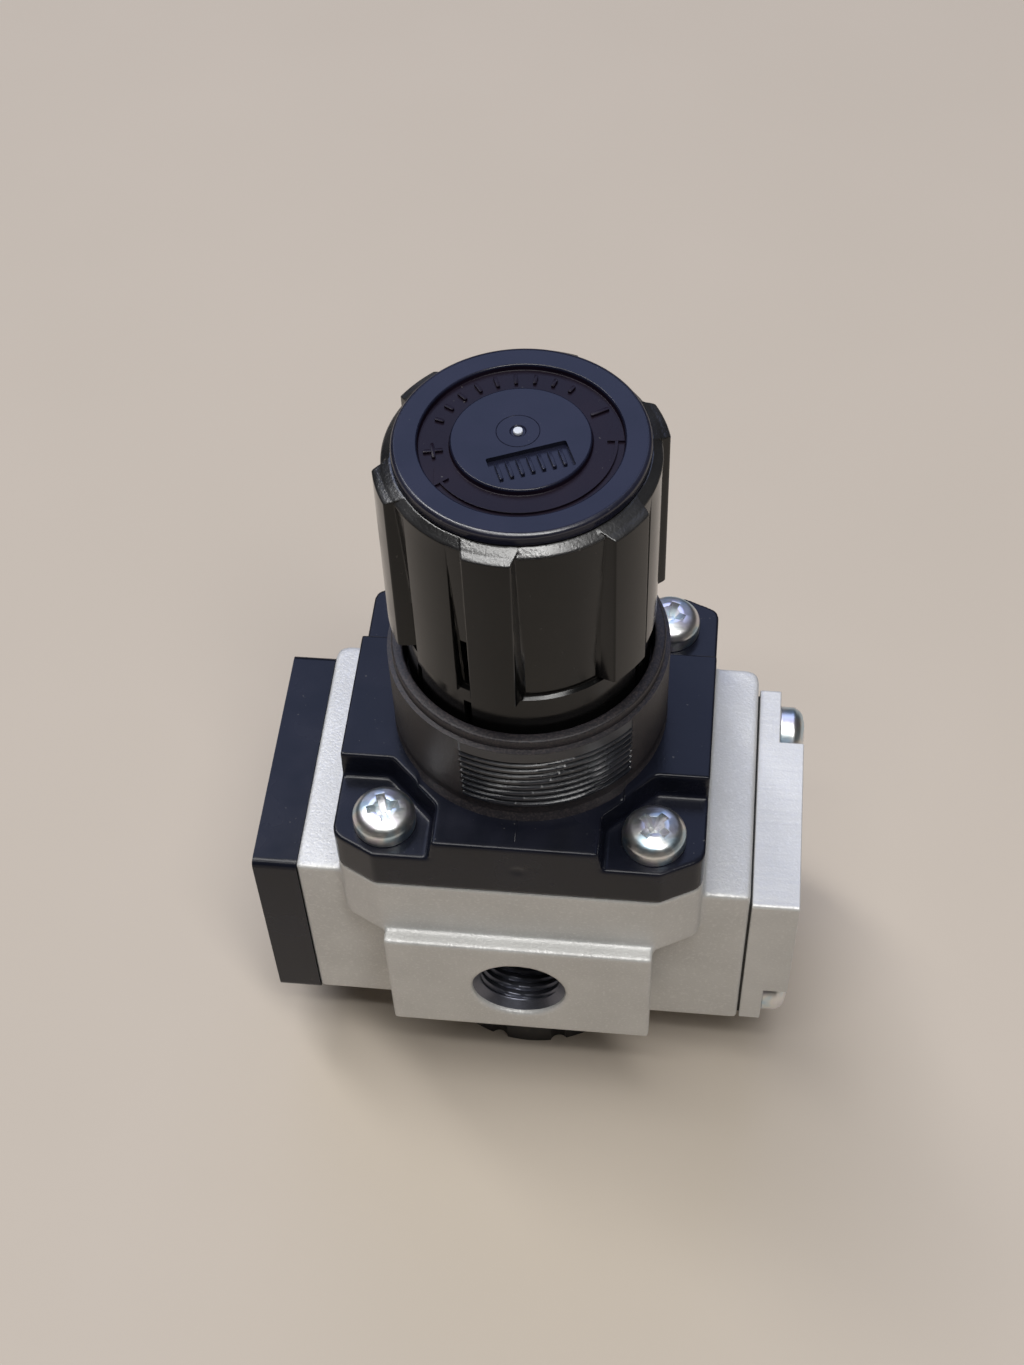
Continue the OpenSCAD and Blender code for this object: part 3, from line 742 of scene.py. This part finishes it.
def build_adapter():
    """The plate on the +X side, with the gauge port and a notch at each screw."""
    inner, outer = FLANGE_X + 0.35, FLANGE_X + 7.0
    plate = upright_plate(inner, outer, ADAPTER_Y0, ADAPTER_Y1, ADAPTER_Z0, ADAPTER_Z1, 0.6)
    tools = [screw_bore(inner - 1, outer + 1, GAUGE_R, 0, PORT_Z)]
    for y, z in SIDE_SCREWS:
        up = 1 if y > 0 else -1
        y0, y1 = sorted((y - up * NOTCH, y + up * 2 * NOTCH))
        z0, z1 = sorted((z - up * NOTCH, z + up * 2 * NOTCH))
        tools.append(block(ADAPTER_SEAT, outer + 1, y0, y1, z0, z1))
        tools.append(screw_bore(inner - 1, outer + 1, CLEARANCE_R, y, z))
    carved(plate, tools)
    softened(plate, 0.4)
    smoothed(plate)
    delivered(plate, "gauge_adapter", MILLED_LOOK, "cast_paint", "housing", "adapter_plate")


# ---------------------------------------------------------------- screws


def cross_outline(half_length, half_width):
    """Outline of a cross recess."""
    arm = [(half_length, -half_width), (half_length, half_width), (half_width, half_width)]
    points = []
    for quarter in range(4):
        turn = Matrix.Rotation(quarter * TURN / 4, 2)
        points += [tuple(turn @ Vector(p)) for p in arm]
    return points


def pan_head(length, pitch=0.8):
    """Pan head screw along Z with its seat at 0: crowned head, cross recess and rolled thread."""
    crown = [(HEAD_R - 0.7, 3.2), (1.9, HEAD_H - 0.04), (0, HEAD_H)]
    head = [(0, 0), (HEAD_R, 0), (HEAD_R, 2.1), *crown]
    top = lathe(filleted(head, [0, 0.25, 1.0, 1.6, 1.5, 0], 6), 72)
    above = HEAD_H + 0.2
    recess = loft(cross_outline(1.0, 0.4), cross_outline(2.45, 0.66), HEAD_H - 1.9, above)
    centre = lathe([(0, HEAD_H - 2.2), (0.3, HEAD_H - 2.2), (1.45, above), (0, above)], 24)
    carved(top, [recess, centre])
    softened(top, 0.12, 3, 40)
    turns = length / pitch

    def shank_row(z):
        return lambda a: (SHANK_R - 0.35 * abs(2 * ((z / pitch - a / TURN) % 1.0) - 1), z)

    angles = [TURN * i / 24 for i in range(24)]
    count = int(turns * 6)
    rows = [shank_row(-length + (length + 0.1) * i / count) for i in range(count + 1)]
    shank = skin(angles, [ring_row(0.01, -length), *rows, ring_row(0.01, 0.1)])
    return smoothed(joined([top, shank]), 50)


def build_bonnet_screws():
    """The four screws in the bonnet's pockets, each turned differently."""
    pattern = pan_head(13)
    turns = {(-1, -1): 18, (1, -1): 52, (-1, 1): 30, (1, 1): 70}
    four = [
        copied(pattern, shift(sx * SCREW_X, sy * SCREW_Y, POCKET_Z), spin(angle, "Z"))
        for (sx, sy), angle in turns.items()
    ]
    bpy.data.objects.remove(pattern)
    look = LOOKS["zinc_screw"]
    delivered(joined(four), "head_screws", look, "zinc_screw", "housing", "bonnet_screws")


def build_side_screws(side, seat, length, name, node):
    """The two screws of one side cover, seated that far from the middle and pointing inward."""
    pattern = pan_head(length)
    pair = [
        copied(pattern, shift(side * seat, y, z), spin(90 * side, "Y"), spin(25 + 3 * y, "Z"))
        for y, z in SIDE_SCREWS
    ]
    bpy.data.objects.remove(pattern)
    delivered(joined(pair), name, LOOKS["zinc_screw"], "zinc_screw", "housing", node)


# ---------------------------------------------------------------- knob

LEDGE_Z, LUG_Z0, LUG_Z1 = 87.1, 88.0, 114.5
PANEL_R_LOW, PANEL_R_HIGH, PANEL_Z1 = 15.6, 16.9, 114.6
SHOULDER_R, SHOULDER_Z = 15.65, 115.4
LUG_R, LUG_HALF, LUG_DRAFT, LUG_EDGE = 18.0, 2.7, 0.15, 10
SKIRT_R, SKIRT_Z0, LEDGE_SLOPE = 16.2, 77.3, 1.75
CREASE_Z, CREASE_H, CREASE_DEPTH = 114.85, 0.09, 0.1
FINGER_R, FINGER_HALF = 16.85, 12
SLIT_ANGLE, SLIT_HALF = 15.5, 0.4
SLIT_HEIGHTS = ((87.7, 96.5), (72.0, 84.5))
LUG_MEAN_R, SLIT_MEAN_R = 17.5, 16.5  # radii at which widths around the knob are measured
STEEP = 14  # millimetres of radius for each millimetre across, on a nearly square wall


def panel_radius(z):
    """The hollowed wall between the lugs, with the skirt below it and the shoulder above it."""
    if z < LEDGE_Z - 1:
        return SKIRT_R
    rise = (z - LEDGE_Z) / (PANEL_Z1 - LEDGE_Z)
    wall = PANEL_R_LOW + (PANEL_R_HIGH - PANEL_R_LOW) * rise
    slope = (PANEL_R_HIGH - SHOULDER_R) / (SHOULDER_Z - PANEL_Z1)
    shoulder = PANEL_R_HIGH + (PANEL_Z1 - z) * slope
    skirt = SKIRT_R - max(z - LEDGE_Z, 0) * LEDGE_SLOPE
    return soft_max(soft_min(wall, shoulder, 0.3), skirt, 0.15)


def lug_radius(from_lug, z):
    """One grip lug: a drafted face with slanting flanks, foot and top."""
    across = math.radians(from_lug) * LUG_MEAN_R
    flank = LUG_R + 0.3 - 2 * (across - LUG_HALF)
    face = LUG_R + LUG_DRAFT * (LUG_Z1 - z) / (LUG_Z1 - LUG_Z0)
    foot = 15 + (z - LUG_Z0) * STEEP
    slope = (LUG_R - SHOULDER_R) / (SHOULDER_Z - LUG_Z1)
    top = LUG_R + (LUG_Z1 - z) * slope
    crease = CREASE_DEPTH * math.exp(-(((z - CREASE_Z) / CREASE_H) ** 2))
    return soft_min(soft_min(face, flank, 0.3), soft_min(foot, top, 0.3), 0.3) - crease


def finger_radius(from_finger, z):
    """One springy finger, raised between two slits."""
    side = FINGER_R + (FINGER_HALF - abs(from_finger)) * 1.7
    foot = 14.6 + (z - LEDGE_Z + 0.2) * STEEP
    return soft_min(min(FINGER_R, foot), side, 0.2)


def knob_radius(a, z):
    """Outside radius of the knob at an angle from its pocket's direction."""
    degrees = math.degrees(a)
    from_lug = abs(degrees % 60 - 30)
    from_finger = degrees % 120 - 60
    radius = soft_max(panel_radius(z), lug_radius(from_lug, z), 0.2)
    if z < PANEL_Z1:
        radius = soft_max(radius, finger_radius(from_finger, z), 0.1)
    across = math.radians(abs(abs(from_finger) - SLIT_ANGLE)) * SLIT_MEAN_R - SLIT_HALF
    for low, high in SLIT_HEIGHTS:
        off = max(across, z - high, low - z)
        radius = min(radius, 14.5 + max(off, 0) * STEEP)
    return radius


def build_knob():
    """The knob: a skin whose lines are closer together at each edge of a lug, slit or finger."""
    edges = [lug + s * LUG_EDGE for lug in range(30, 360, 60) for s in (-1, 1)]
    for half in (SLIT_ANGLE, FINGER_HALF):
        edges += [finger + s * half for finger in (60, 180, 300) for s in (-1, 1)]
    angles = [math.radians(a) for a in lines_near(0, 360, 1.2, edges, 1.9, 0.19)[:-1]]
    levels = [84.5, LEDGE_Z, 87.7, LUG_Z0 + 0.1, 96.5]
    heights = lines_near(SKIRT_Z0 + 0.3, 113.6, 0.9, levels, 0.35, 0.06)
    heights += [113.7 + 0.08 * i for i in range(21)]  # closer together over the lugs' tops

    def side_row(z):
        return lambda a: (knob_radius(a, z), z)

    rows = [ring_row(15.2, SKIRT_Z0), ring_row(16.0, SKIRT_Z0)]
    rows += [side_row(z) for z in heights]
    inside = [
        (15.62, SHOULDER_Z), (12.1, SHOULDER_Z), (12.1, 111), (4.1, 111), (4.1, 91.5), (7.5, 91.5),
        (7.5, 108), (14.4, 108), (14.4, 86), (15.05, 85.9), (15.05, 83), (15.2, 82.9),
    ]
    rows += [ring_row(r, z) for r, z in inside]
    knob = skin(angles, rows)
    placed(knob, Matrix.Rotation(KNOB_TURN, 4, "Z"))
    smoothed(knob, 42)
    delivered(knob, "grip", LOOKS["knob_plastic"], "knob_plastic", "knob", "knob")
    shoulder_z = LUG_Z1 - 0.1
    # Painted highlight on the upward faces of the lugs' tops and the shoulder
    repaint(knob, KNOB_HIGHLIGHT_LOOK, lambda r, z, up: r > 15.6 and z > shoulder_z and up > 0.4)


# ---------------------------------------------------------------- cap

CAP_Z = 117.1
CAP_R = 15.6
RING_IN, RING_OUT, RING_DEPTH = 8.45, 12.4, 0.8
MARK_R, MARK_L, MARK_W = 10.5, 2.4, 0.45
POCKET_X, POCKET_W = 2.0, 4.2
SIGN_ANGLE = 99.8
ARC_R, ARC_END = 11.3, 72
PIP_X, PIP_R = -1.2, 0.58


def bar(length, width, z0, z1, *matrices):
    """A small bar with round corners, as long as length along X."""
    x, y = length / 2, width / 2
    outline = filleted([(-x, -y), (x, -y), (x, y), (-x, y)], width * 0.25, 2)
    return placed(prism(outline, z0, z1), *matrices)


def arc_band(radius, width, low, high, z0, z1):
    """A flat band along an arc, from one angle to another in degrees."""
    steps = 40
    angles = [math.radians(low + (high - low) * i / steps) for i in range(steps + 1)]
    outer, inner = radius + width / 2, radius - width / 2
    outline = [(outer * math.cos(a), outer * math.sin(a)) for a in angles]
    outline += [(inner * math.cos(a), inner * math.sin(a)) for a in reversed(angles)]
    return prism(outline, z0, z1)


def cap_marks():
    """Plus, minus, a double arrow and plain ticks, raised from the recessed ring."""
    z0 = CAP_Z - RING_DEPTH - 0.1
    z1 = z0 + 0.42
    parts = []
    for angle in (-SIGN_ANGLE, SIGN_ANGLE):
        parts.append(bar(MARK_L, MARK_W, z0, z1, spin(angle, "Z"), shift(MARK_R, 0, 0)))
    parts.append(bar(MARK_W, MARK_L, z0, z1 + 0.02, spin(-SIGN_ANGLE, "Z"), shift(MARK_R, 0, 0)))
    parts.append(arc_band(ARC_R, 0.4, -ARC_END, ARC_END, z0, z1))
    for side in (-1, 1):
        head = prism([(-1.1, 0), (1.0, 0), (-0.6, 2.5 * side)], z0, z1)
        parts.append(placed(head, spin(ARC_END * side, "Z"), shift(ARC_R, 0, 0)))
    for i in range(-4, 5):
        tick = MARK_L * (0.72 - 0.06 * abs(i))
        parts.append(bar(tick, MARK_W, z0, z1, spin(180 + 13 * i, "Z"), shift(MARK_R, 0, 0)))
    return softened(joined(parts), 0.08, 2, 40)


def build_cap():
    """The cap with its recessed ring, ribbed pocket and gate mark, and the marks on the ring. The
    gate mark is coloured pale as a painted glint.
    """
    floor = CAP_Z - RING_DEPTH
    outside = [(0, 115.35), (CAP_R - 0.2, 115.35), (CAP_R, 115.55), (CAP_R, CAP_Z)]
    recess = [(RING_OUT, CAP_Z), (RING_OUT - 0.1, floor), (RING_IN + 0.1, floor), (RING_IN, CAP_Z)]
    radii = [0, 0.1, 0.15, 0.85, 0.3, 0.15, 0.15, 0.3, 0]
    profile = filleted([*outside, *recess, (0, CAP_Z)], radii, 6)
    cap = lathe(profile, 192)
    groove = lathe([(2.6, CAP_Z - 0.06), (2.72, CAP_Z + 0.06), (2.48, CAP_Z + 0.06)], 96)
    bottom, above = CAP_Z - 0.16, CAP_Z + 0.1
    well = lathe([(0, bottom), (0.85, bottom), (1.15, above), (0, above)], 48)
    pocket = block(POCKET_X, POCKET_X + POCKET_W, -4.95, 4.95, floor + 0.1, CAP_Z + 1, 0.3)
    carved(cap, [placed(groove, shift(PIP_X, 0, 0)), placed(well, shift(PIP_X, 0, 0)), pocket])
    middle = POCKET_X + POCKET_W / 2
    rib_top = floor + 0.55
    ribs = [bar(2.7, 0.45, floor, rib_top, shift(middle, i * 1.3, 0)) for i in range(-3, 4)]
    spigot_wall = [(10.9, 111.2), (12.05, 111.2), (12.05, 115.5), (10.9, 115.5)]
    spigot = lathe(filleted(spigot_wall, 0.2, 2), 96)
    ribs = softened(joined(ribs), 0.08, 2, 40)
    cap = smoothed(joined([cap, ribs, spigot]), 25)
    placed(cap, Matrix.Rotation(KNOB_TURN, 4, "Z"))
    delivered(cap, "cap", LOOKS["cap_plastic"], "cap_plastic", "knob", "knob_cap")
    marks = smoothed(cap_marks(), 40)
    placed(marks, Matrix.Rotation(KNOB_TURN, 4, "Z"))
    delivered(marks, "cap_marks", RING_LOOK, "cap_plastic", "knob")
    pip = [(0, CAP_Z - 0.3), (PIP_R, CAP_Z - 0.3), (PIP_R, CAP_Z + 0.16), (0, CAP_Z + 0.22)]
    pip = smoothed(lathe(filleted(pip, [0, 0, 0.12, 0]), 48))
    placed(pip, Matrix.Rotation(KNOB_TURN, 4, "Z"), shift(PIP_X, 0, 0))
    # The gate mark's pale colour is a painted glint
    delivered(pip, "cap_gate_mark_painted_glint", PIP_GLINT_LOOK, "cap_plastic", "knob")
    ring_top, ring_floor = CAP_Z - 0.4, CAP_Z - RING_DEPTH - 0.1
    repaint(cap, RING_LOOK, lambda r, z, up: RING_IN < r < RING_OUT and ring_floor < z < ring_top)
    # Painted highlight on the rounded rim of the cap
    repaint(cap, CAP_HIGHLIGHT_LOOK, lambda r, z, up: r > CAP_R - 0.9 and 0.1 < up < 0.97)


# ---------------------------------------------------------------- springs


def build_spring(node):
    """A copy of the spring from its CAD node, with its own mesh, tied to the housing in its place."""
    source = frame["nodes"][node]
    spring = bpy.data.objects.new(node, source.data.copy())
    bpy.context.scene.collection.objects.link(spring)
    spring.matrix_world = source.matrix_world.copy()
    delivered(spring, node + "_coil", LOOKS["spring_steel"], "spring_steel", "housing", node)
    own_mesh(spring)


# ---------------------------------------------------------------- stage


def build_floor():
    """A plain pale floor."""
    size = 2.0
    mesh = bpy.data.meshes.new("floor")
    corners = [(-size, -size, 0), (size, -size, 0), (size, size, 0), (-size, size, 0)]
    mesh.from_pydata(corners, [], [(0, 1, 2, 3)])
    floor = bpy.data.objects.new("floor", mesh)
    bpy.context.scene.collection.objects.link(floor)
    n = Nodes("floor")
    soft = n.noise(60, 2)
    n.set("Base Color", n.mixed(soft, (0.5, 0.44, 0.37), (0.53, 0.465, 0.395)))
    n.set("Roughness", 0.7)
    mesh.materials.append(n.material)


def add_light(name, place, target, size, power, colour):
    """An area light that faces its target. Places and sizes are in metres."""
    light = bpy.data.lights.new(name, "AREA")
    light.shape = "RECTANGLE"
    light.size, light.size_y = size
    light.energy = power
    light.color = colour
    lamp = bpy.data.objects.new(name, light)
    lamp.location = place
    lamp.rotation_euler = (Vector(target) - Vector(place)).to_track_quat("-Z", "Y").to_euler()
    bpy.context.scene.collection.objects.link(lamp)


def build_light():
    """A wide ceiling panel, a narrow tube in front for the edges, and a cool panel behind."""
    middle = (0, 0, 0.06)
    add_light("ceiling", (-0.08, -0.08, 1.6), middle, (2.4, 0.28), 28, (1.0, 0.99, 0.97))
    add_light("tube", (-0.05, -0.58, 1.5), middle, (1.0, 0.06), 4.5, (1.0, 0.99, 0.97))
    add_light("sky", (-0.2, 1.25, 1.5), middle, (1.6, 1.0), 9, (0.5, 0.6, 1.0))
    world = bpy.data.worlds.new("world")
    world.use_nodes = True
    background = world.node_tree.nodes["Background"]
    background.inputs["Color"].default_value = (1.0, 0.95, 0.9, 1)
    background.inputs["Strength"].default_value = 0.03
    bpy.context.scene.world = world
    bpy.context.scene.view_settings.view_transform = "Standard"


def build_camera():
    """A camera high in front of the regulator, a little to its right."""
    azimuth, elevation, roll = (math.radians(d) for d in (10.574, 54.04, -4.853))
    target = Vector((-5.304, -25.958, 88.667)) * MM
    distance = 248.32 * MM
    back = Vector((
        math.sin(azimuth) * math.cos(elevation),
        -math.cos(azimuth) * math.cos(elevation),
        math.sin(elevation),
    ))
    right = Vector((0, 0, 1)).cross(back).normalized()
    up = back.cross(right)
    across = right * math.cos(roll) + up * math.sin(roll)
    upward = up * math.cos(roll) - right * math.sin(roll)
    data = bpy.data.cameras.new("camera")
    data.sensor_width = 36
    data.lens = 53.51
    data.shift_x = 0.036
    data.shift_y = 0.0519
    data.clip_start = 0.01
    camera = bpy.data.objects.new("camera", data)
    place = Matrix((across, upward, back)).transposed().to_4x4()
    place.translation = target + back * distance
    camera.matrix_world = place
    bpy.context.scene.collection.objects.link(camera)
    bpy.context.scene.camera = camera


build_camera()
build_body()
build_port_thread(-1, "inlet_thread")
build_port_thread(1, "outlet_thread")
build_bonnet()
build_neck()
build_side_cover()
build_adapter()
build_bonnet_screws()
build_side_screws(-1, COVER_SEAT, 10, "cover_screws", "side_cover_screws")
build_side_screws(1, ADAPTER_SEAT, 11.5, "plate_screws", "adapter_screws")
build_knob()
build_cap()
build_spring("adjusting_spring")
build_spring("valve_spring")
build_floor()
build_light()
